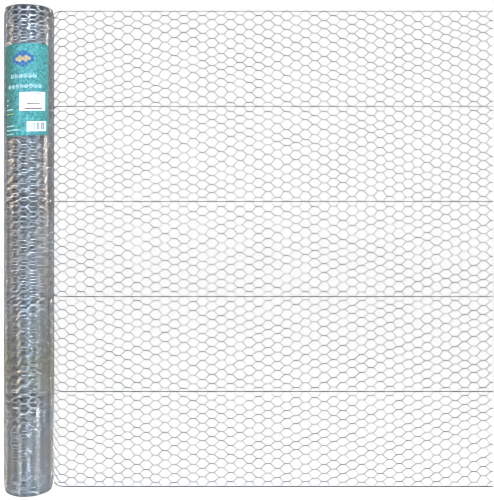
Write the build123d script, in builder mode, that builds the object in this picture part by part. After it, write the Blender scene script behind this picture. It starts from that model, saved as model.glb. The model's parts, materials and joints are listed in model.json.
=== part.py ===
"""A standing roll of galvanised hexagonal wire netting with one stretch drawn out flat beside it.

The roll stands on one end. Its last turn leaves the right side, bends back into the plane through
the roll's axis and runs on flat to a cut end. Millimetres, +Z up, origin on the roll's axis at its foot.
"""

import math
import os

from build123d import *

os.makedirs("parts", exist_ok=True)

# Netting: twisted pairs lie along its length, and slanting wires join them.
netting_width = 1829.0
wire_diameter = 1.6
line_wire_diameter = 2.2
bays = 5
half_cells_per_bay = 21
twist_length = 20.0
column_spacing = 35.96

# The drawn-out end, counted in columns of twists. Its lengths meet at the middles of twists.
flat_columns = 45
flat_lengths = 5
seam_gap = 0.05
straight_lead = 25.2
bend_radius = 45.0
bent_columns = 3
hug_clearance = 0.3

# The wound roll.
roll_radius = 97.0
bore_radius = 25.0
rim_radius = 6.0
shown_turns = 8
groove_width = 2.0
groove_depth = 1.5

# The printed wrap round the roll, and the plain sticker on it.
label_thickness = 0.2
label_height = 342.0
label_drop = 154.0
label_arc = 109.0
label_middle_angle = -86.0
sticker_thickness = 0.1
sticker_height = 70.0
sticker_drop = 180.0
sticker_arc = 58.0
sticker_turn = 15.5

# Rows of the netting. Half rows are counted from the lower edge wire to the upper one.
edge_inset = max(wire_diameter, line_wire_diameter / 2)
half_rows = bays * half_cells_per_bay
half_pitch = (netting_width - 2 * edge_inset) / half_rows

# A twisted pair is two wires deep, and so is the sheet that stands for the netting.
sheet_thickness = 2 * wire_diameter

# A hole's outline, from its middle: tips at its sides, corners at the twists above and below.
slant_run = column_spacing - twist_length
slant_length = math.hypot(slant_run, half_pitch)
hole_tip = column_spacing - twist_length / 2 - wire_diameter / 2 * slant_length / half_pitch
twist_edge = half_pitch - wire_diameter
line_edge = line_wire_diameter / 2


def hole_reach(height):
    """How far a hole reaches sideways at this height above or below its middle."""
    return hole_tip - slant_run * height / half_pitch


def row_height(half_row):
    """Height of a half row above the floor. The edge wires stand in from the netting's edges."""
    return edge_inset + half_row * half_pitch


def hole_sides(column, bay):
    """The right-hand side of each of a column's holes in one bay, upwards, as (reach, height)."""
    corner = hole_reach(twist_edge)
    shoulder = hole_reach(line_edge)
    lowest = bay * half_cells_per_bay
    highest = lowest + half_cells_per_bay
    sides = []
    for half_row in range(lowest, highest + 1):
        if (half_row + column) % 2 == 0:
            continue
        middle = row_height(half_row)
        below = (corner, middle - twist_edge)
        above = (corner, middle + twist_edge)
        if half_row == lowest:
            sides.append([(shoulder, middle + line_edge), above])
        elif half_row == highest:
            sides.append([below, (shoulder, middle - line_edge)])
        else:
            sides.append([below, (hole_tip, middle), above])
    return sides


def whole_holes(column, bay):
    """A column's holes in one bay as closed outlines round the column's middle."""
    return [side + [(-reach, height) for reach, height in reversed(side)] for side in hole_sides(column, bay)]


# The route of the drawn-out end, seen from above. The last turn hugs the roll, leaves it where
# the two arcs touch, and comes level with the roll's axis at the bend's far end.
turn_radius = roll_radius + hug_clearance + sheet_thickness / 2
leave_angle = math.asin(bend_radius / (turn_radius + bend_radius))
bend_x = (turn_radius + bend_radius) * math.cos(leave_angle)
bend_turn = math.pi / 2 - leave_angle
bend_length = bend_radius * bend_turn
first_cut_x = bend_x + straight_lead
bent_length = bent_columns * column_spacing
hug_turn = (bent_length - straight_lead - bend_length) / turn_radius


def route_point(back):
    """Place and heading on the route, this far back from the first cut across the flat netting."""
    if back <= straight_lead:
        return Vector(first_cut_x - back, 0, 0), Vector(1, 0, 0)
    if back <= straight_lead + bend_length:
        turned = (back - straight_lead) / bend_radius
        heading = Vector(math.cos(turned), -math.sin(turned), 0)
        return Vector(bend_x, bend_radius, 0) + heading.rotate(Axis.Z, -90) * bend_radius, heading
    angle = leave_angle + (back - straight_lead - bend_length) / turn_radius
    heading = Vector(math.sin(angle), -math.cos(angle), 0)
    return heading.rotate(Axis.Z, 90) * turn_radius, heading


# The roll: one turned solid with its bore, and rings on both ends where its turns show.
ring_step = (roll_radius - rim_radius - bore_radius) / (shown_turns + 1)

with BuildPart() as roll:
    with BuildSketch(Plane.XZ) as half_section:
        with Locations(((bore_radius + roll_radius) / 2, netting_width / 2)):
            Rectangle(roll_radius - bore_radius, netting_width)
        fillet(half_section.vertices().group_by(Axis.X)[-1], rim_radius)
        for ring in range(1, shown_turns + 1):
            ring_radius = bore_radius + ring * ring_step
            for foot, depth in ((0, groove_depth), (netting_width, netting_width - groove_depth)):
                inner = (ring_radius - groove_width / 2, foot)
                outer = (ring_radius + groove_width / 2, foot)
                with BuildLine():
                    Polyline(inner, (ring_radius, depth), outer, close=True)
                make_face(mode=Mode.SUBTRACT)
    revolve(axis=Axis.Z)
roll.part.label = "roll"
export_step(roll.part, "parts/roll.step")


# The flat netting, bay by bay between line wires, in lengths cut across at the middles of twists.
def cut_end(column, bay, x, inward):
    """The open end of a length, upwards: half holes that open towards the netting."""
    points = []
    for side in hole_sides(column, bay):
        points.append((x, side[0][1]))
        points += [(x + inward * reach, height) for reach, height in side]
        points.append((x, side[-1][1]))
    return points


def netting_piece(start, end, bay):
    """The netting of one bay between two columns, lying in the plane through the roll's axis."""
    start_x = first_cut_x + start * column_spacing + seam_gap
    end_x = first_cut_x + end * column_spacing
    foot = row_height(bay * half_cells_per_bay) + seam_gap if bay > 0 else 0
    head = row_height((bay + 1) * half_cells_per_bay) if bay < bays - 1 else netting_width
    left = [(start_x, foot)] + cut_end(start, bay, start_x, 1) + [(start_x, head)]
    right = [(end_x, foot)] + cut_end(end, bay, end_x, -1) + [(end_x, head)]
    loops = [left + right[::-1]]
    for column in range(start + 1, end):
        x = first_cut_x + column * column_spacing
        loops += [[(x + reach, height) for reach, height in hole] for hole in whole_holes(column, bay)]
    front = Plane.XZ.offset(-sheet_thickness / 2)
    wires = [Wire.make_polygon([front.from_local_coords(point) for point in loop]) for loop in loops]
    with BuildPart() as piece:
        extrude(Face(wires[0], wires[1:]), amount=sheet_thickness)
    return piece.part


for bay in range(bays):
    for length in range(flat_lengths):
        start = round(length * flat_columns / flat_lengths)
        end = round((length + 1) * flat_columns / flat_lengths)
        netting = netting_piece(start, end, bay)
        netting.label = f"bay_{bay + 1}_length_{length + 1}"
        export_step(netting, f"parts/{netting.label}.step", write_pcurves=False)


# The bend: a strip that hugs the roll, swings back and comes out flat, pierced column by column.
with BuildPart() as netting_bend:
    with BuildSketch():
        with BuildLine():
            start_angle = math.degrees(leave_angle)
            CenterArc((0, 0), turn_radius, start_angle, math.degrees(hug_turn))
            CenterArc((bend_x, bend_radius), bend_radius, 180 + start_angle, 90 - start_angle)
            Line((bend_x, 0), (first_cut_x, 0))
        trace(line_width=sheet_thickness)
    extrude(amount=netting_width)
    for column in range(0, -bent_columns - 1, -1):
        place, heading = route_point(-column * column_spacing)
        tangent_plane = Plane(origin=place, x_dir=heading, z_dir=heading.rotate(Axis.Z, -90))
        faces = []
        for hole in [hole for bay in range(bays) for hole in whole_holes(column, bay)]:
            corners = []
            for reach, height in hole:
                corner_place = route_point(-column * column_spacing - reach)[0] - place
                corners.append(tangent_plane.from_local_coords((corner_place.dot(heading), height, 0)))
            faces.append(Face(Wire.make_polygon(corners)))
        extrude(faces, amount=bend_radius / 4, both=True, dir=tangent_plane.z_dir, mode=Mode.SUBTRACT)
netting_bend.part.label = "netting_bend"
export_step(netting_bend.part, "parts/netting_bend.step", write_pcurves=False)


# The printed wrap and its sticker: bands round the roll.
def band(radius, thickness, arc, middle_angle, height, drop):
    """A thin upright band lying on a cylinder, with its top edge this far below the roll's top."""
    with BuildPart() as strip:
        with BuildSketch(Plane.XY.offset(netting_width - drop - height)):
            with BuildLine():
                CenterArc((0, 0), radius + thickness / 2, middle_angle - arc / 2, arc)
            trace(line_width=thickness)
        extrude(amount=height)
    return strip.part


label = band(roll_radius, label_thickness, label_arc, label_middle_angle, label_height, label_drop)
label.label = "label"
export_step(label, "parts/label.step")

sticker_radius = roll_radius + label_thickness
sticker_angle = label_middle_angle + sticker_turn
sticker = band(sticker_radius, sticker_thickness, sticker_arc, sticker_angle, sticker_height, sticker_drop + label_drop)
sticker.label = "sticker"
export_step(sticker, "parts/sticker.step")
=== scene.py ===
# %% [markdown]
# # A roll of hexagonal wire netting
#
# A roll of galvanised netting stands on its end, and its last turn is drawn out flat beside it.
# The real thing is nothing but wire: about a hundred wires run along the netting, and at every
# column of twists each wire is wound round a neighbour, first the one above and then the one below.
# This lesson builds those wires one by one as thin tubes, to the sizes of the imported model.

# %% Load the fixed frame
import json
import math

import bpy
import numpy as np
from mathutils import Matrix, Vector

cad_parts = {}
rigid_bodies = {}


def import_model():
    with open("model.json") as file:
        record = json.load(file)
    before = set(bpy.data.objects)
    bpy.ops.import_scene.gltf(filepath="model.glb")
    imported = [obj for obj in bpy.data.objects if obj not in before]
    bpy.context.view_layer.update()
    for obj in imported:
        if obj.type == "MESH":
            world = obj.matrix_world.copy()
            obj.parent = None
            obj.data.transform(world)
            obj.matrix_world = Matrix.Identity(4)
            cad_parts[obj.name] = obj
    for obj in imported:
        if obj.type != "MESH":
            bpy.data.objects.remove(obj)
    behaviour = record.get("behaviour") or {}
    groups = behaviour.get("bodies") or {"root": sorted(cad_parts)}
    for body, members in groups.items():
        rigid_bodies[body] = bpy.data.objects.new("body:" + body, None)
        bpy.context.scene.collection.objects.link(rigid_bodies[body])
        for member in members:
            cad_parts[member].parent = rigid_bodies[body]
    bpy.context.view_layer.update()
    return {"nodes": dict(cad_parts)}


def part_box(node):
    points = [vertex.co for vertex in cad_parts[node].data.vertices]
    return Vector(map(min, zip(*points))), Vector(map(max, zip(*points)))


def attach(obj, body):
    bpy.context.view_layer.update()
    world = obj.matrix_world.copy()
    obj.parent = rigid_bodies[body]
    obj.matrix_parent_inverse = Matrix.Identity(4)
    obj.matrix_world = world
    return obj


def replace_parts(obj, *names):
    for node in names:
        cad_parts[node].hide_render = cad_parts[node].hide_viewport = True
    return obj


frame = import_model()
print("frame nodes:", len(frame["nodes"]))

# %% [markdown]
# ## Sizes
#
# The solids already hold the netting's width, the roll's radius and where the flat stretch starts
# and ends. The rest, such as how thick the wire is, is named here once. Everything is in metres.

# %% Sizes of the netting and the roll
MM = 0.001
BAYS = 5
ROWS_PER_BAY = 21
HALF_ROWS = BAYS * ROWS_PER_BAY
FLAT_COLUMNS = 45
BEND_COLUMNS = 3
WIRE = 1.6 * MM
LINE_WIRE = 2.2 * MM
TWIST = 20 * MM
EDGE_INSET = 1.6 * MM
BEND_RADIUS = 45 * MM
BORE_RADIUS = 25 * MM
TURN_GAP = 1.9 * MM

flat_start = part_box("bay_1_length_1")[0].x
free_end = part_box("bay_1_length_5")[1].x
column_step = (free_end - flat_start) / FLAT_COLUMNS
netting_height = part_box("roll")[1].z
half_pitch = (netting_height - 2 * EDGE_INSET) / HALF_ROWS
roll_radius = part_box("roll")[1].x
turn_radius = roll_radius + TURN_GAP
leave_angle = math.asin(BEND_RADIUS / (turn_radius + BEND_RADIUS))
bend_x = (turn_radius + BEND_RADIUS) * math.cos(leave_angle)
bend_length = BEND_RADIUS * (math.pi / 2 - leave_angle)
turn_columns = round(2 * math.pi * turn_radius / column_step)
print("column step", column_step, "half pitch", half_pitch, "columns in a turn", turn_columns)

# %% [markdown]
# ## The route of the sheet, seen from above
#
# Netting bends like cloth. Every point of it is known by how far along the netting it lies, and one
# function says where that distance is in the room: straight on the flat stretch, then back round the
# bend, and then round and round the roll on a spiral that shrinks a little with every turn. The
# drawn-out end leaves from just outside the roll, and behind the roll it settles among the turns.

# %% The route
TURN_PITCH = 1.08 * MM
SETTLE = 3.9 * MM
SETTLE_FROM, SETTLE_TO = math.radians(16), math.radians(80)
BORE_CLEARANCE = 2 * MM


def route(along):
    """Place and outward side of the netting, for distances that equal x on the flat."""
    along = np.asarray(along, float)
    back = np.clip(bend_x - along, 0, None)
    on_bend = np.clip(back, 0, bend_length) / BEND_RADIUS
    on_roll = np.clip(back - bend_length, 0, None)
    spiral_radius = np.sqrt(turn_radius ** 2 - TURN_PITCH * on_roll / math.pi)
    wound = (turn_radius - spiral_radius) * 2 * math.pi / TURN_PITCH
    settled = np.clip((wound - SETTLE_FROM) / (SETTLE_TO - SETTLE_FROM), 0, 1)
    radius = spiral_radius - SETTLE * settled
    angle = leave_angle + wound
    rolled = on_roll > 0
    turned = np.where(rolled, math.pi / 2 - angle, on_bend)
    side = np.stack([np.sin(turned), np.cos(turned)], -1)
    bend_place = np.stack([bend_x - BEND_RADIUS * np.sin(on_bend), BEND_RADIUS * (1 - np.cos(on_bend))], -1)
    place = np.where(rolled[..., None], side * radius[..., None], bend_place)
    flat = along > bend_x
    place[..., 0] = np.where(flat, along, place[..., 0])
    return place, side


roll_start = bend_x - bend_length
deepest_radius = BORE_RADIUS + SETTLE + BORE_CLEARANCE
wound_length = math.pi * (turn_radius ** 2 - deepest_radius ** 2) / TURN_PITCH
FIRST_COLUMN = -math.floor((wound_length - roll_start + flat_start) / column_step)
print("netting wound on the roll", wound_length, "m, in columns", -FIRST_COLUMN)

# %% [markdown]
# ## Cells that are never quite alike
#
# The machine makes even cells, but a netting that has been wound tight and pulled out again has
# taller cells in some rows and flatter ones in others. To shift every twist by an amount of its own
# would look like noise, because neighbouring columns share their drift: one row's wires pull on the
# next. The straight line wires stay where they are. So the drift is a random walk from each line
# wire to the next, blurred along the netting. On the roll the rows drift less. Where the netting
# swings off the roll, its cells are pulled a little longer.

# %% Columns of twists
WIND_IN = 0.15
BEND_STRETCH = 10 * MM

columns = np.arange(FIRST_COLUMN, FLAT_COLUMNS + 1)
column_along = flat_start + columns * column_step - BEND_STRETCH * np.clip(-1 - columns, 0, 1)
wound_share = np.clip((roll_start - column_along) / WIND_IN, 0, 1)
print("columns of twists", len(columns), "from", column_along[0], "m to", column_along[-1], "m")

# %% Rows that drift between line wires
DRIFT = 1.8 * MM
DRIFT_REACH = 2.2
WOUND_DRIFT = 0.3
SEED = 11
random = np.random.default_rng(SEED)


def blur_along(values, reach):
    """Blur random values along the netting and bring them back to their old spread."""
    offsets = np.arange(-math.ceil(3 * reach), math.ceil(3 * reach) + 1)
    weights = np.exp(-0.5 * (offsets / reach) ** 2)
    blurred = np.apply_along_axis(lambda line: np.convolve(line, weights, "same"), 0, values)
    return blurred / math.sqrt((weights ** 2).sum())


drift_steps = blur_along(random.normal(0, DRIFT, (len(columns), HALF_ROWS)), DRIFT_REACH)
drift = np.zeros((len(columns), HALF_ROWS + 1))
for bay in range(BAYS):
    rows = slice(bay * ROWS_PER_BAY, (bay + 1) * ROWS_PER_BAY)
    walk = np.cumsum(drift_steps[:, rows], 1)
    share = np.arange(1, ROWS_PER_BAY + 1) / ROWS_PER_BAY
    drift[:, rows.start + 1:rows.stop + 1] = walk - share * walk[:, -1:]
drift *= 1 + (WOUND_DRIFT - 1) * wound_share[:, None]
print("largest drift of a twist", np.abs(drift).max(), "m")

# %% [markdown]
# ## Turns that nest
#
# On a tight roll the twists of one turn lie between those of the next. An outer turn holds about 17
# columns. That is odd, which already puts its twists half a cell off those of the turn before.
# Between line wires each turn also climbs a sixth of a cell, so neighbours lie a third of a cell
# apart, and every sixth turn comes back down behind the roll. Line wires don't climb, but on the
# roll they wander.

# %% Turns that climb, and line wires that wander
NEST_TURNS = 6
NEST_RETURN = 0.28
NEST_START = 0.23
NEST_SHAPE = 0.7
LINE_WANDER = 2 * MM
LINE_REACH = 4.0

nested = (-columns - BEND_COLUMNS) / turn_columns - NEST_START
cycle = np.mod(nested, NEST_TURNS)
highest = 1 - 2 * NEST_RETURN / NEST_TURNS
rise = np.interp(cycle, [0, NEST_TURNS - NEST_RETURN, NEST_TURNS], [-1, highest, -1])
from_line = np.sin(np.arange(HALF_ROWS + 1) % ROWS_PER_BAY / ROWS_PER_BAY * math.pi) ** NEST_SHAPE
drift += half_pitch * (rise * wound_share)[:, None] * from_line

wander = blur_along(random.normal(0, LINE_WANDER, (len(columns), BAYS + 1)), LINE_REACH)
wander *= wound_share[:, None]
wander[:, [0, BAYS]] = 0
row_at = np.arange(HALF_ROWS + 1) / ROWS_PER_BAY
line_at = np.arange(BAYS + 1)
drift += np.apply_along_axis(lambda heights: np.interp(row_at, line_at, heights), 1, wander)
print("largest wander of a line wire", np.abs(wander).max(), "m")

# %% [markdown]
# ## Scatter, slipped edges and curled rims
#
# Each twist also sits a touch off its row and stands a touch out of the sheet, inwards on the roll.
# At the roll's ends the turns slip past each other, and both rims are bent inwards. All of this
# happens in two functions, so a wire only has to say how far along the netting it is, and how high.

# %% Scatter of twists, and turns that slip
JITTER_ALONG = 0.6 * MM
JITTER_UP = 0.35 * MM
WOUND_JITTER = 1.5
DEPTH_JITTER = 0.3 * MM
SLIP = 5 * MM
SLIP_REACH = 5.0
SLIP_IN_COLUMNS = 6

looseness = 1 + (WOUND_JITTER - 1) * wound_share[:, None]
jitter_along = random.normal(0, JITTER_ALONG, drift.shape) * looseness
jitter_up = random.normal(0, JITTER_UP, drift.shape) * looseness
jitter_up[:, ::ROWS_PER_BAY] = 0
depth = np.abs(random.normal(0, DEPTH_JITTER, drift.shape))
depth[columns < -BEND_COLUMNS] *= -1
slip_noise = blur_along(random.normal(0, 1, (len(columns), 1)), SLIP_REACH)[:, 0]
slip_noise *= np.clip((-BEND_COLUMNS - turn_columns - columns) / SLIP_IN_COLUMNS, 0, 1)
slip = SLIP * wound_share * np.clip(slip_noise / 2, 0, 1)
print("furthest slip of a turn", slip.max(), "m")

# %% Lay the netting along the route
RIM_CURL = 5 * MM
RIM_REACH = 28 * MM


def twist_place(column, row):
    """Distance along the netting, height and depth of a twist, for arrays of columns and half rows."""
    at = column - FIRST_COLUMN
    along = column_along[at] + jitter_along[at, row]
    height = EDGE_INSET + row * half_pitch + drift[at, row] + jitter_up[at, row]
    return along, height, depth[at, row]


def lie(along, height, out):
    """Lay points of the netting along the route, with the roll's curled rims and slipped turns."""
    place, side = route(along)
    wound = np.clip((roll_start - along) / WIND_IN, 0, 1)
    from_edge = np.minimum(height, netting_height - height)
    curl = RIM_CURL * wound * np.clip(1 - from_edge / RIM_REACH, 0, 1) ** 2
    lifted = height + np.interp(along, column_along, slip)
    paths = np.concatenate([place + side * (out - curl)[..., None], lifted[..., None]], -1)
    sides = np.concatenate([side, np.zeros_like(lifted)[..., None]], -1)
    return paths, sides


# %% [markdown]
# ## How a wire runs through the netting
#
# Follow one wire. It comes slanting down to a twist, goes one and a half turns round its partner,
# leaves below it and slants down to the next twist, and so on until it meets an edge wire, winds
# round that and climbs back. So each wire is a list of twists, and each twist is part of a helix.
# A pattern of flat hexagons would be simpler, but in it no wire would go round another. The outer
# turns are such whole wires. Further in, only the rows near the roll's ends are seen, and there
# short lengths from one twist to the next are enough to show every turn from above.

# %% Trace the netting's wires
def twist_points(column, row, climbing, shares):
    """Points of wires within a twist, as distance, height and depth. Shares run from -1 to 1."""
    at_edge = (row == 0) | (row == HALF_ROWS)
    edge_angle = np.where(row == 0, 1.5, 0.5) * math.pi
    middle_angle = np.where(at_edge, edge_angle, np.where(climbing, math.pi, 0.0))
    half_sweep = np.where(at_edge, math.pi, 1.5 * math.pi)
    reach = np.where(row % ROWS_PER_BAY == 0, (WIRE + LINE_WIRE) / 2, WIRE / 2)[:, None]
    angle = middle_angle[:, None] + shares * half_sweep[:, None]
    along, height, out = (values[:, None] for values in twist_place(column, row))
    return along + shares * TWIST / 2, height + reach * np.sin(angle), out + reach * np.cos(angle)


def step_on(row, climbing):
    """The next column's half row of each wire, and whether it climbs. Edges turn a wire back."""
    leaves_up = climbing ^ ((row == 0) | (row == HALF_ROWS))
    return row + np.where(leaves_up, 1, -1), leaves_up


def netting_paths(first, last, steps):
    """Whole wires from the middle of one column of twists to the middle of another."""
    rows = np.arange(first % 2, HALF_ROWS + 1, 2)
    row = np.repeat(rows, 2)
    climbing = np.tile([True, False], len(rows))
    real = np.where(climbing, row > 0, row < HALF_ROWS)
    row, climbing = row[real], climbing[real]
    pieces = []
    for column in range(first, last + 1):
        before = steps if column > first else 0
        after = steps if column < last else 0
        shares = np.arange(-before, after + 1) / steps
        pieces.append(twist_points(np.full_like(row, column), row, climbing, shares))
        row, climbing = step_on(row, climbing)
    return lie(*(np.concatenate(values, 1) for values in zip(*pieces)))


def short_wires(first, last, rows, steps):
    """Separate lengths of wire from each twist to the next column's, in a few rows."""
    grid = np.meshgrid(np.arange(first, last), rows, [True, False], indexing="ij")
    column, row, climbing = (values.ravel() for values in grid)
    real = ((column + row) % 2 == 0) & np.where(climbing, row > 0, row < HALF_ROWS)
    column, row, climbing = column[real], row[real], climbing[real]
    shares = np.arange(steps + 1) / steps
    here = twist_points(column, row, climbing, shares)
    row, climbing = step_on(row, climbing)
    there = twist_points(column + 1, row, climbing, shares - 1)
    return lie(*(np.concatenate(pair, 1) for pair in zip(here, there)))


LINE_JITTER = 0.15 * MM


def line_wire_paths(first, last, points_per_column, lines=range(BAYS + 1)):
    """The straight wires that run along the netting at its edges and between bays."""
    count = (last - first) * points_per_column + 1
    along = np.interp(np.linspace(first, last, count), columns, column_along)
    along = np.repeat(along[None, :], len(lines), 0)
    height = EDGE_INSET + np.array(lines)[:, None] * ROWS_PER_BAY * half_pitch + along * 0
    height += np.stack([np.interp(along[0], column_along, wander[:, line]) for line in lines])
    height += random.normal(0, LINE_JITTER, height.shape)
    return lie(along, height, along * 0)


# %% [markdown]
# ## From a path to a wire
#
# A wire is a tube swept along a path. Blender's curves with a bevel could do this, but a hundred
# thousand points are quicker to sweep with arrays: a ring of corners round every point of every
# path, and quads from each ring to the next. The ends are closed, so that each tube is a solid.

# %% Sweep tubes along many paths at once
def tube_mesh(name, paths, sides, radius, corners=4):
    """One mesh with a closed tube along each path. Paths and sides are (wires, points, 3)."""
    wires, points, _ = paths.shape
    tangent = np.gradient(paths, axis=1)
    tangent /= np.linalg.norm(tangent, axis=2, keepdims=True) + 1e-12
    across = np.cross(tangent, sides)
    across /= np.linalg.norm(across, axis=2, keepdims=True) + 1e-12
    outward = np.cross(across, tangent)
    turn = np.arange(corners) * 2 * math.pi / corners + math.pi / 4
    ring = radius * (
        np.cos(turn)[None, None, :, None] * across[:, :, None, :]
        + np.sin(turn)[None, None, :, None] * outward[:, :, None, :]
    )
    verts = (paths[:, :, None, :] + ring).reshape(-1, 3)
    low = (np.arange(wires)[:, None] * points + np.arange(points - 1)[None, :])[..., None] * corners
    high = low + corners
    corner = np.arange(corners)
    following = (corner + 1) % corners
    quads = np.stack([low + corner, low + following, high + following, high + corner], -1)
    quads = quads.reshape(-1, 4)
    wire_start = np.arange(wires)[:, None] * points * corners
    first = wire_start + corner[::-1]
    last = wire_start + (points - 1) * corners + corner
    mesh = bpy.data.meshes.new(name)
    loops = np.concatenate([quads.ravel(), first.ravel(), last.ravel()])
    counts = np.concatenate([np.full(len(quads), 4), np.full(2 * wires, corners)])
    mesh.vertices.add(len(verts))
    mesh.vertices.foreach_set("co", verts.astype(np.float32).ravel())
    mesh.loops.add(len(loops))
    mesh.loops.foreach_set("vertex_index", loops.astype(np.int32))
    mesh.polygons.add(len(counts))
    loop_starts = np.concatenate([[0], np.cumsum(counts)[:-1]])
    mesh.polygons.foreach_set("loop_start", loop_starts.astype(np.int32))
    mesh.update(calc_edges=True)
    mesh.validate()
    mesh.polygons.foreach_set("use_smooth", np.ones(len(counts), bool))
    return mesh


triangle_total = 0


def add_piece(name, mesh, material):
    """Put a finished mesh in the scene as a piece that stands with the roll."""
    global triangle_total
    piece = bpy.data.objects.new(name, mesh)
    bpy.context.scene.collection.objects.link(piece)
    mesh.materials.append(material)
    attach(piece, "root")
    mesh.calc_loop_triangles()
    triangle_total += len(mesh.loop_triangles)
    print(name, len(mesh.loop_triangles), "triangles, in all", triangle_total)
    return piece


# %% [markdown]
# ## Finishes
#
# Zinc on wire is cloudy: patches of dull grey and of brighter metal, with fine grain. A picture of
# zinc would have to be unwrapped along every wire. Noise that is worked out in space needs no
# unwrapping and has grain at any distance. On the roll there is some grime too, in a brownish band
# at a set height. The drawn-out wire is seen against the light and reads nearly black, and that
# dark is painted into its zinc as shade. The turns below the outer three, the roll's line wires and
# its ends get a darker zinc, which is painted shade as well.

# %% Nodes that the finishes share
def new_material(name, roughness, metallic=0.0):
    """A material with its node tree and its shader."""
    material = bpy.data.materials.new(name)
    material.use_nodes = True
    shader = material.node_tree.nodes["Principled BSDF"]
    shader.inputs["Metallic"].default_value = metallic
    shader.inputs["Roughness"].default_value = roughness
    return material, material.node_tree, shader


def add_noise(tree, scale, detail=3.0):
    """Three-dimensional noise over the object's own place."""
    place = tree.nodes.new("ShaderNodeTexCoord")
    noise = tree.nodes.new("ShaderNodeTexNoise")
    noise.inputs["Scale"].default_value = scale
    noise.inputs["Detail"].default_value = detail
    tree.links.new(place.outputs["Object"], noise.inputs["Vector"])
    return noise.outputs["Fac"]


def add_ramp(tree, factor, stops):
    """A colour ramp with (position, colour) stops."""
    ramp = tree.nodes.new("ShaderNodeValToRGB")
    elements = ramp.color_ramp.elements
    while len(elements) < len(stops):
        elements.new(0.5)
    for element, (position, colour) in zip(elements, stops):
        element.position = position
        element.color = (*colour, 1)
    tree.links.new(factor, ramp.inputs["Fac"])
    return ramp.outputs["Color"]


def multiply(tree, first, second):
    """One colour times another."""
    mix = tree.nodes.new("ShaderNodeMix")
    mix.data_type = "RGBA"
    mix.blend_type = "MULTIPLY"
    mix.inputs["Factor"].default_value = 1.0
    tree.links.new(first, mix.inputs["A"])
    tree.links.new(second, mix.inputs["B"])
    return mix.outputs["Result"]


def add_bump(tree, shader, height, distance, strength=1.0):
    """Small relief on a finish."""
    bump = tree.nodes.new("ShaderNodeBump")
    bump.inputs["Distance"].default_value = distance
    bump.inputs["Strength"].default_value = strength
    tree.links.new(height, bump.inputs["Height"])
    tree.links.new(bump.outputs["Normal"], shader.inputs["Normal"])


def vary_roughness(tree, shader, factor, low, high):
    """Roughness that follows a noise."""
    spread = tree.nodes.new("ShaderNodeMapRange")
    spread.inputs["To Min"].default_value = low
    spread.inputs["To Max"].default_value = high
    tree.links.new(factor, spread.inputs["Value"])
    tree.links.new(spread.outputs["Result"], shader.inputs["Roughness"])


# %% Zinc
GRIME_HEIGHT, GRIME_REACH = 0.5, 0.2
NO_GRIME_OR_SHADE, GRIME = (1, 1, 1), (0.80, 0.77, 0.64)
CLOUD_SCALE, TINT_SCALE, GRAIN_SCALE = 55, 9, 1400
GRAIN_DEPTH = 0.05 * MM


def shade(colour, factor):
    """A colour made darker or lighter."""
    return tuple(min(1.0, channel * factor) for channel in colour)


def zinc(name, colour, roughness, metallic, grimy=False, gloss=0.5):
    """Galvanised wire: cloudy zinc with fine grain, and a band of grime where the roll has it."""
    material, tree, shader = new_material(name, roughness, metallic)
    shader.inputs["Specular IOR Level"].default_value = gloss
    cloud = add_noise(tree, CLOUD_SCALE, 4)
    finish = add_ramp(tree, cloud, [(0.32, shade(colour, 0.7)), (0.68, shade(colour, 1.25))])
    tints = [(0.35, (1.0, 0.97, 0.92)), (0.5, NO_GRIME_OR_SHADE), (0.65, (0.93, 0.97, 1.0))]
    finish = multiply(tree, finish, add_ramp(tree, add_noise(tree, TINT_SCALE, 2), tints))
    if grimy:
        place = tree.nodes.new("ShaderNodeTexCoord")
        split = tree.nodes.new("ShaderNodeSeparateXYZ")
        tree.links.new(place.outputs["Object"], split.inputs["Vector"])
        share = tree.nodes.new("ShaderNodeMath")
        share.operation = "DIVIDE"
        share.inputs[1].default_value = netting_height
        tree.links.new(split.outputs["Z"], share.inputs[0])
        at, reach = GRIME_HEIGHT / netting_height, GRIME_REACH / netting_height
        stops = [(at - reach, NO_GRIME_OR_SHADE), (at, GRIME), (at + reach, NO_GRIME_OR_SHADE)]
        finish = multiply(tree, finish, add_ramp(tree, share.outputs[0], stops))
    tree.links.new(finish, shader.inputs["Base Color"])
    grain = add_noise(tree, GRAIN_SCALE, 2)
    vary_roughness(tree, shader, grain, roughness - 0.1, roughness + 0.12)
    add_bump(tree, shader, grain, GRAIN_DEPTH)
    return material


# Painted shade: the drawn-out wire is the same zinc, made near-black because it is seen against the light.
backlit_wire_painted_shade = zinc("backlit_wire_painted_shade", (0.025, 0.025, 0.025), 0.5, 0.0, gloss=0.05)
wound_zinc = zinc("wound_zinc", (0.69, 0.73, 0.78), 0.2, 0.8, grimy=True)
# Painted shade: a darker copy of the wound zinc for wires that lie in the outer turns' shade.
deep_zinc = zinc("deep_zinc", (0.12, 0.124, 0.132), 0.3, 0.8, grimy=True)

# %% [markdown]
# ## The drawn-out stretch
#
# Against white, a wire thinner than a pixel shows only as a tint, so its thickness decides how dark
# the netting reads. A true wire reads paler here than in the photograph. So the tubes of the free
# stretch and of the bend are swept a little thicker than the wire is, until the tints agree.

# %% The drawn-out netting
DETAIL = 3
FLAT_PARTS = 5
THICKENING = 0.15 * MM
flat_nodes = [name for name in frame["nodes"] if name.startswith("bay_")]
flat_paths, flat_sides = netting_paths(0, FLAT_COLUMNS, DETAIL)
for part, wires in enumerate(np.array_split(np.arange(len(flat_paths)), FLAT_PARTS)):
    name = f"drawn_wires_{part + 1}"
    mesh = tube_mesh(name, flat_paths[wires], flat_sides[wires], WIRE / 2 + THICKENING)
    piece = add_piece(name, mesh, backlit_wire_painted_shade)
    if part == 0:
        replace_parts(piece, *flat_nodes)
paths, sides = line_wire_paths(0, FLAT_COLUMNS, 2)
add_piece("drawn_line_wires", tube_mesh("drawn_line_wires", paths, sides, LINE_WIRE / 2, 6), backlit_wire_painted_shade)

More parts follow.
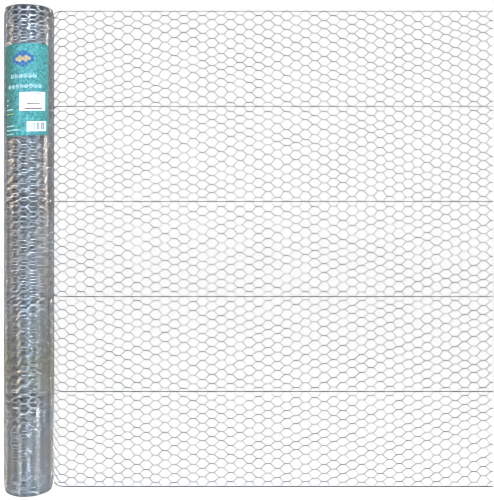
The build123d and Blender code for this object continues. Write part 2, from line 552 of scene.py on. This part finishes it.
# %% The bend
paths, sides = netting_paths(-BEND_COLUMNS, 0, DETAIL)
bend = add_piece("bend_wires", tube_mesh("bend_wires", paths, sides, WIRE / 2 + THICKENING), backlit_wire_painted_shade)
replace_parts(bend, "netting_bend")
paths, sides = line_wire_paths(-BEND_COLUMNS, 0, 6)
add_piece("bend_line_wires", tube_mesh("bend_line_wires", paths, sides, LINE_WIRE / 2, 6), backlit_wire_painted_shade)

# %% [markdown]
# ## The wound turns
#
# Seen from the side, the eye gets about a dozen turns deep before wires hide all that is behind
# them. Those turns are drawn in full, but with plainer twists from the third on, because less and
# less of them shows. The outer three have bright zinc. The turns below lie in their shade, and that
# shade is painted into them as a darker zinc, which sets off the bright strokes on top.

# %% Outer turns
DRAWN_TURNS = 13
BRIGHT_TURNS = 3
FINE_TURNS = 2
turn_end = -BEND_COLUMNS
for turn in range(DRAWN_TURNS):
    turn_start = turn_end - turn_columns
    steps = 2 if turn < FINE_TURNS else 1
    corners = 4 if turn == 0 else 3
    paths, sides = netting_paths(turn_start, turn_end, steps)
    name = f"wound_turn_{turn + 1}"
    material = wound_zinc if turn < BRIGHT_TURNS else deep_zinc
    piece = add_piece(name, tube_mesh(name, paths, sides, WIRE / 2, corners), material)
    if turn == 0:
        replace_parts(piece, "roll")
    paths, sides = line_wire_paths(turn_start, turn_end, 3)
    name = f"wound_line_wires_{turn + 1}"
    add_piece(name, tube_mesh(name, paths, sides, LINE_WIRE / 2, 4), deep_zinc)
    turn_end = turn_start

# %% The ends of all the turns further in
END_ROWS = 4
for name, rows, line in (
    ("foot_turns", range(0, END_ROWS), 0),
    ("head_turns", range(HALF_ROWS - END_ROWS + 1, HALF_ROWS + 1), BAYS),
):
    paths, sides = short_wires(FIRST_COLUMN, turn_end, rows, 1)
    add_piece(name, tube_mesh(name, paths, sides, WIRE / 2, 3), deep_zinc)
    paths, sides = line_wire_paths(FIRST_COLUMN, turn_end, 4, [line])
    add_piece(name + "_edge", tube_mesh(name + "_edge", paths, sides, LINE_WIRE / 2, 4), deep_zinc)

# %% [markdown]
# ## The imported core
#
# Some fifty turns are left, and to draw them as wires would take millions of triangles. They are
# seen only as glints between the outer wires. So they are one turned shape from the bore to the
# deepest drawn turn, and its finish is a net of light lines on painted shade, with relief to match.

# %% The core's shape
CORE_INSET = 48 * MM
CORE_SEGMENTS = 96
CORE_GAP_TURNS = 2
core_radius = turn_radius - SETTLE - TURN_PITCH * (DRAWN_TURNS + CORE_GAP_TURNS)
print("core radius", core_radius, "m")


def turned_mesh(name, profile, segments):
    """A ring-shaped solid from a closed profile of (radius, height) points."""
    angles = np.arange(segments) * 2 * math.pi / segments
    verts = [(r * math.cos(a), r * math.sin(a), z) for a in angles for r, z in profile]
    count = len(profile)
    faces = []
    for step in range(segments):
        here, there = step * count, (step + 1) % segments * count
        for corner in range(count):
            after = (corner + 1) % count
            faces.append((here + corner, there + corner, there + after, here + after))
    mesh = bpy.data.meshes.new(name)
    mesh.from_pydata(verts, [], faces)
    return mesh


# %% The core's finish
NET_SCALES = (75, 110)
NET_RELIEF = 3 * MM
# Painted shade: the dark between the net lines stands for the shade deep inside the roll.
NET_LINES_AND_PAINTED_SHADE = [(0.03, (0.40, 0.41, 0.42)), (0.12, (0.03, 0.03, 0.032))]


def packed_net_and_painted_shade():
    """A finish for wires packed too deep to draw: bright net lines over painted shade."""
    material, tree, shader = new_material("packed_net_and_painted_shade", 0.5, 0.6)
    place = tree.nodes.new("ShaderNodeTexCoord")
    lines = []
    for scale in NET_SCALES:
        cells = tree.nodes.new("ShaderNodeTexVoronoi")
        cells.feature = "DISTANCE_TO_EDGE"
        cells.inputs["Scale"].default_value = scale
        tree.links.new(place.outputs["Object"], cells.inputs["Vector"])
        lines.append(cells.outputs["Distance"])
    nearest = tree.nodes.new("ShaderNodeMath")
    nearest.operation = "MINIMUM"
    tree.links.new(lines[0], nearest.inputs[0])
    tree.links.new(lines[1], nearest.inputs[1])
    tree.links.new(add_ramp(tree, nearest.outputs[0], NET_LINES_AND_PAINTED_SHADE), shader.inputs["Base Color"])
    depth_below = tree.nodes.new("ShaderNodeMath")
    depth_below.operation = "MULTIPLY"
    depth_below.inputs[1].default_value = -1.0
    tree.links.new(nearest.outputs[0], depth_below.inputs[0])
    add_bump(tree, shader, depth_below.outputs[0], NET_RELIEF)
    return material


core_profile = [
    (BORE_RADIUS, CORE_INSET),
    (core_radius, CORE_INSET),
    (core_radius, netting_height - CORE_INSET),
    (BORE_RADIUS, netting_height - CORE_INSET),
]
add_piece("packed_core", turned_mesh("packed_core", core_profile, CORE_SEGMENTS), packed_net_and_painted_shade())

# %% [markdown]
# ## Paper
#
# A printed wrap lies round the roll, with a plain white sticker on it. Paper here is a thin closed
# sheet laid on the cylinder row by row, so a rounded corner is only a row that is a little shorter.
# The print could be a picture laid on the paper, but cut as shapes it stays sharp from nearby. So
# the same function lays hexagons and bars on top, a tenth of a millimetre proud. Their layout is
# made up for this model. The wrap reads darker towards its two ends in the photograph. Lamps that
# shaded it so would move the bright bands on the wire, so that shade is painted into the paper.

# %% Lay thin shapes on the roll
LABEL_MIDDLE = math.radians(-86)
LABEL_ARC = math.radians(109)
STICKER_TURN = math.radians(15.5)
STICKER_ARC = math.radians(58)
PAPER = 0.2 * MM
PRINT_CELL = 4 * MM
LABEL_RAISE = 7 * MM
SKEW = 0.06
OVER_ROLL = 0.9 * MM
CRINKLE = 0.06 * MM
label_radius = roll_radius + OVER_ROLL
label_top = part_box("label")[1].z + LABEL_RAISE
label_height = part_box("label")[1].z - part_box("label")[0].z


def crinkle(angle, height):
    """How far the paper stands off the roll, where wires below press it up."""
    waves = np.sin(angle * 31 + height * 90) + np.sin(angle * 17 - height * 140) + np.sin(height * 360)
    return CRINKLE * waves


def wrapped_mesh(name, shapes, lift, thickness):
    """Closed thin sheets on the roll. A shape is its middle and its rows of (drop, half width)."""
    verts, faces = [], []
    for middle, rows in shapes:
        widest = max(half for _, half in rows)
        across = np.linspace(-1, 1, max(1, math.ceil(2 * widest / PRINT_CELL)) + 1)
        drop = np.array([row[0] for row in rows])[:, None]
        half = np.array([row[1] for row in rows])[:, None]
        angle = LABEL_MIDDLE + (middle + half * across) / label_radius
        height = label_top - drop + SKEW * (angle - LABEL_MIDDLE) * label_radius
        first = len(verts)
        for depth_in in (0, thickness):
            radius = label_radius + crinkle(angle, height) + lift - depth_in
            grid = np.stack([radius * np.cos(angle), radius * np.sin(angle), height], -1)
            verts.extend(map(tuple, grid.reshape(-1, 3)))
        high, wide = angle.shape
        front, back = first + np.arange(2 * high * wide).reshape(2, high, wide)
        for r in range(high - 1):
            for c in range(wide - 1):
                faces.append((front[r, c], front[r + 1, c], front[r + 1, c + 1], front[r, c + 1]))
                faces.append((back[r, c], back[r, c + 1], back[r + 1, c + 1], back[r + 1, c]))
        rim = list(zip([0] * wide, range(wide))) + list(zip(range(1, high), [wide - 1] * (high - 1)))
        rim += list(zip([high - 1] * (wide - 1), range(wide - 2, -1, -1)))
        rim += list(zip(range(high - 2, 0, -1), [0] * (high - 2)))
        for (r, c), (r2, c2) in zip(rim, rim[1:] + rim[:1]):
            faces.append((front[r, c], front[r2, c2], back[r2, c2], back[r, c]))
    mesh = bpy.data.meshes.new(name)
    corners = [tuple(float(x) for x in vert) for vert in verts]
    mesh.from_pydata(corners, [], [tuple(int(i) for i in face) for face in faces])
    mesh.validate()
    return mesh


# %% Outlines of paper and print
ROW_STEP = 6 * MM


def bar(left, top, width, height):
    """An upright rectangle."""
    drops = np.linspace(top, top + height, max(1, math.ceil(height / ROW_STEP)) + 1)
    return left + width / 2, [(drop, width / 2) for drop in drops]


def hexagon(middle, drop, size):
    """A hexagon with flat top and foot."""
    rise = size * math.sqrt(3) / 2
    return middle, [(drop - rise, size / 2), (drop, size), (drop + rise, size / 2)]


def rounded(left, top, width, height, corner):
    """A rectangle with rounded corners."""
    turn = np.linspace(0, math.pi / 2, 7)
    near = corner * (1 - np.cos(turn))
    middle = np.linspace(corner, height - corner, max(2, math.ceil(height / ROW_STEP)))
    drops = np.concatenate([near, middle[1:-1], height - near[::-1]])
    from_end = np.minimum(np.minimum(drops, height - drops), corner)
    half = width / 2 - corner + np.sqrt(np.clip(corner ** 2 - (corner - from_end) ** 2, 0, None))
    return left + width / 2, list(zip(top + drops, half))


# %% Paper finishes
MOTTLE_SCALE, CREASE_SCALE = 110, 120
PAPER_GLOSS = 0.08


def across_roll(tree):
    """0 at the roll's left side and 1 at its right side."""
    place = tree.nodes.new("ShaderNodeTexCoord")
    split = tree.nodes.new("ShaderNodeSeparateXYZ")
    tree.links.new(place.outputs["Object"], split.inputs["Vector"])
    share = tree.nodes.new("ShaderNodeMapRange")
    share.inputs["From Min"].default_value = -roll_radius
    share.inputs["From Max"].default_value = roll_radius
    tree.links.new(split.outputs["X"], share.inputs["Value"])
    return share.outputs["Result"]


def paper(name, colour, roughness=0.42, mottle=0.16, crease=0.5, ends_shading=()):
    """Printed paper: mottled colour, a soft sheen, shallow creases and perhaps painted shade towards its
    ends.
    """
    material, tree, shader = new_material(name, roughness)
    shader.inputs["Specular IOR Level"].default_value = PAPER_GLOSS
    mottling = add_noise(tree, MOTTLE_SCALE, 5)
    stops = [(0.3, shade(colour, 1 - mottle)), (0.7, shade(colour, 1 + mottle))]
    finish = add_ramp(tree, mottling, stops)
    if ends_shading:
        finish = multiply(tree, finish, add_ramp(tree, across_roll(tree), ends_shading))
    tree.links.new(finish, shader.inputs["Base Color"])
    vary_roughness(tree, shader, mottling, roughness - 0.08, roughness + 0.12)
    add_bump(tree, shader, add_noise(tree, CREASE_SCALE, 3), crease * MM, 0.6)
    return material


# Painted shade: the wrap is darker towards the roll's left and right sides.
painted_end_shade = [
    (0.0, (0.48, 0.58, 0.46)), (0.22, (0.46, 0.58, 0.50)), (0.4, NO_GRIME_OR_SHADE),
    (0.68, NO_GRIME_OR_SHADE), (0.86, (0.70, 0.89, 0.85)),
]
teal_paper = paper("teal_paper", (0.08, 0.27, 0.255), 0.5, 0.4, crease=1.4, ends_shading=painted_end_shade)
white_paper = paper("white_paper", (0.86, 0.87, 0.87), 0.5, 0.03)
print_blue = paper("print_blue", (0.05, 0.11, 0.27))
print_orange = paper("print_orange", (0.50, 0.32, 0.16))
print_pale = paper("print_pale", (0.28, 0.42, 0.41), 0.45, 0.35)
print_yellow = paper("print_yellow", (0.27, 0.35, 0.13), 0.45, 0.08)
print_grey = paper("print_grey", (0.20, 0.15, 0.14), 0.5, 0.08)
print_stripe = paper("print_stripe", (0.21, 0.14, 0.14), 0.5, 0.08)

# %% The wrap and the sticker
WRAP_CORNER, STICKER_CORNER = 16 * MM, 2 * MM
STICKER_PAPER = 0.12 * MM
label_width = LABEL_ARC * label_radius
sticker_width = STICKER_ARC * label_radius
sticker_middle = STICKER_TURN * label_radius
sticker_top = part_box("label")[1].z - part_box("sticker")[1].z
sticker_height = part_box("sticker")[1].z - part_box("sticker")[0].z

wrap_shape = rounded(-label_width / 2, 0, label_width, label_height, WRAP_CORNER)
wrap = wrapped_mesh("paper_wrap", [wrap_shape], PAPER, PAPER)
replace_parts(add_piece("paper_wrap", wrap, teal_paper), "label")
sticker_left = sticker_middle - sticker_width / 2
sticker_shape = rounded(sticker_left, sticker_top, sticker_width, sticker_height, STICKER_CORNER)
sticker = wrapped_mesh("white_sticker", [sticker_shape], PAPER + STICKER_PAPER, STICKER_PAPER)
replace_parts(add_piece("white_sticker", sticker, white_paper), "sticker")


# %% The print on the wrap
PRINT = 0.1 * MM
COMB = 7.6 * MM
COMB_GAP = 0.7 * MM
COMB_MIDDLE = (-10 * MM, 56 * MM)


def add_print(name, shapes, material, level=1):
    """Printed shapes, each level a little prouder than the last."""
    return add_piece(name, wrapped_mesh(name, shapes, PAPER + level * PRINT, PRINT), material)


blue_cells, orange_cells = [], []
for q in range(-3, 4):
    for r in range(-4, 5):
        across = 1.5 * q * COMB
        down = (r + 0.5 * (q % 2)) * COMB * math.sqrt(3)
        if abs(down) > (2.3 - abs(q) / 2) * COMB * math.sqrt(3):
            continue
        cells = orange_cells if abs(down) < COMB and abs(q) < 3 else blue_cells
        cells.append(hexagon(COMB_MIDDLE[0] + across, COMB_MIDDLE[1] + down, COMB - COMB_GAP))
add_print("comb_blue", blue_cells, print_blue)
add_print("comb_orange", orange_cells, print_orange)

# %% Rows of hexagons, and plain bars
pale_shapes = []
for drop, first, count in ((120 * MM, -52 * MM, 6), (158 * MM, -66 * MM, 8)):
    pale_shapes += [hexagon(first + n * 17 * MM, drop, 9 * MM) for n in range(count)]
for left, top, width, height in (
    (-84, 204, 14, 5), (-84, 221, 12, 5), (-84, 238, 34, 6),
    (-84, 300, 40, 5), (-84, 315, 64, 6), (-84, 330, 36, 5),
):
    pale_shapes.append(bar(left * MM, top * MM, width * MM, height * MM))
add_print("pale_shapes", pale_shapes, print_pale)
add_print("yellow_bar", [bar(-84 * MM, 256 * MM, 38 * MM, 4 * MM)], print_yellow)
add_print("pale_box", [bar(4 * MM, 289 * MM, 76 * MM, 38 * MM)], white_paper)

# %% Stripes in the pale box, and bars on the sticker
STRIPES_FROM, STRIPES_TO = 14 * MM, 70 * MM
stripes = []
left = STRIPES_FROM
while left < STRIPES_TO:
    width = random.choice([1.0, 1.6, 2.6]) * MM
    stripes.append(bar(left, 294 * MM, width, 27 * MM))
    left += width + random.choice([1.2, 2.0, 3.0]) * MM
add_print("box_stripes", stripes, print_stripe, 2)

faint_bars = [
    bar(sticker_middle + x * MM, sticker_top + y * MM, width * MM, height * MM)
    for x, y, width, height in ((-4, 4, 34, 3), (2, 22, 6, 3), (-22, 41, 48, 4), (-30, 60, 66, 5))
]
add_print("sticker_bars", faint_bars, print_grey, 2)

# %% [markdown]
# ## Studio
#
# White paper below, a white world behind, and soft lamps. Reflections see the same white as the
# camera does, so that bare metal reads as metal. A wire shines only where it mirrors a lamp, so each
# lamp draws its own bright band down the roll: cool ones in front, warm ones to the sides. Those at
# the sides show as highlights only, which keeps the paper wrap at a plain level. One lamp behind
# lights the wound turns for the views from the back, and leaves the drawn-out wires dark.

# %% Floor and world
FLOOR = 30
scene = bpy.context.scene
scene.view_settings.view_transform = "Standard"
scene.cycles.filter_width = 0.8


def backdrop_share(tree):
    """1 for rays that show the backdrop: from the camera, or by way of gloss or glass."""
    rays = tree.nodes.new("ShaderNodeLightPath")
    share = rays.outputs["Is Camera Ray"]
    for kind in ("Is Glossy Ray", "Is Transmission Ray"):
        either = tree.nodes.new("ShaderNodeMath")
        either.operation = "MAXIMUM"
        tree.links.new(share, either.inputs[0])
        tree.links.new(rays.outputs[kind], either.inputs[1])
        share = either.outputs[0]
    return share


def spread_share(tree, low, high):
    """A strength that is low for plain light and high for the backdrop as it is seen."""
    spread = tree.nodes.new("ShaderNodeMapRange")
    spread.inputs["To Min"].default_value = low
    spread.inputs["To Max"].default_value = high
    tree.links.new(backdrop_share(tree), spread.inputs["Value"])
    return spread.outputs["Result"]


floor_mesh = bpy.data.meshes.new("floor")
floor_corners = [(-FLOOR, -FLOOR, 0), (FLOOR, -FLOOR, 0), (FLOOR, FLOOR, 0), (-FLOOR, FLOOR, 0)]
floor_mesh.from_pydata(floor_corners, [], [(0, 1, 2, 3)])
floor = bpy.data.objects.new("floor", floor_mesh)
scene.collection.objects.link(floor)
floor_material, tree, shader = new_material("floor_paper", 0.9)
shader.inputs["Emission Color"].default_value = (1, 1, 1, 1)
tree.links.new(spread_share(tree, 0.9, 0.16), shader.inputs["Base Color"])
tree.links.new(spread_share(tree, 0.0, 0.87), shader.inputs["Emission Strength"])
floor_mesh.materials.append(floor_material)

world = bpy.data.worlds.new("studio")
scene.world = world
world.use_nodes = True
background = world.node_tree.nodes["Background"]
background.inputs["Color"].default_value = (1, 1, 1, 1)
world.node_tree.links.new(spread_share(world.node_tree, 0.2, 1.0), background.inputs["Strength"])


# %% Lamps
def soft_box(name, place, aim, size, watts, colour, only_gloss=False):
    """A square area lamp that faces a point. Some only show as highlights on metal."""
    lamp = bpy.data.lights.new(name, "AREA")
    lamp.size = size
    lamp.energy = watts
    lamp.color = colour
    holder = bpy.data.objects.new(name, lamp)
    scene.collection.objects.link(holder)
    holder.location = place
    holder.rotation_euler = (Vector(aim) - Vector(place)).to_track_quat("-Z", "Y").to_euler()
    holder.visible_diffuse = not only_gloss
    return holder


soft_box("high_box", (0.5, -2.6, 3.0), (0.1, 0, 0.9), 0.3, 100, (0.62, 0.81, 1.0))
soft_box("low_box", (0.4, -2.8, 0.3), (0.1, 0, 0.7), 0.3, 70, (0.62, 0.81, 1.0))
soft_box("near_left_box", (-1.4, -2.4, 2.0), (0, 0, 0.9), 0.4, 30, (0.84, 0.92, 1.0), only_gloss=True)
soft_box("near_right_box", (2.2, -2.0, 2.0), (0, 0, 0.9), 0.4, 60, (0.80, 0.90, 1.0), only_gloss=True)
soft_box("left_box", (-2.4, -0.3, 1.7), (0, 0, 0.8), 0.7, 68, (1.0, 0.72, 0.46), only_gloss=True)
soft_box("right_box", (2.6, 0.5, 1.8), (0, 0, 0.8), 0.5, 150, (1.0, 0.82, 0.66), only_gloss=True)
soft_box("top_box", (0.6, -0.6, 3.4), (0.6, 0, 0.9), 2.0, 15, (1, 1, 1))
back_box = soft_box("back_box", (-0.7, 2.8, 2.0), (0.1, 0, 0.9), 0.5, 42, (0.84, 0.92, 1.0))
lit_from_behind = bpy.data.collections.new("lit_from_behind")
for piece in scene.collection.objects:
    if "wound" in piece.name or "turns" in piece.name:
        lit_from_behind.objects.link(piece)
back_box.light_linking.receiver_collection = lit_from_behind

# %% [markdown]
# ## Camera
#
# The photograph's pixels give the scale: the roll's axis and the netting's top and foot lines. The
# roll's rims are arcs, which says that the camera is near. The lower arc is the deeper one, which
# says that it stands above the middle. It looks straight ahead, and small shifts frame the picture.

# %% Camera
PX_PER_M = 260.32
CAMERA_DISTANCE = 2.6
CAMERA_SHIFT = 0.15
CAMERA_SHIFT_UP = -0.1
PHOTO_WIDTH, PHOTO_HEIGHT = 494, 500
AXIS_PX = 29.3
MIDDLE_PX = 248.8

camera_data = bpy.data.cameras.new("camera")
camera_data.sensor_width = 36
camera_data.lens = PX_PER_M * CAMERA_DISTANCE * camera_data.sensor_width / PHOTO_HEIGHT
camera_data.shift_x = CAMERA_SHIFT
camera_data.shift_y = CAMERA_SHIFT_UP
camera = bpy.data.objects.new("camera", camera_data)
scene.collection.objects.link(camera)
camera_x = (PHOTO_WIDTH / 2 - AXIS_PX - CAMERA_SHIFT * PHOTO_HEIGHT) / PX_PER_M
camera_z = netting_height / 2 - (PHOTO_HEIGHT / 2 - MIDDLE_PX + CAMERA_SHIFT_UP * PHOTO_HEIGHT) / PX_PER_M
camera.location = (camera_x, -CAMERA_DISTANCE, camera_z)
camera.rotation_euler = (math.pi / 2, 0, 0)
scene.camera = camera
print("camera x", camera_x, "z", camera_z, "lens", camera_data.lens)
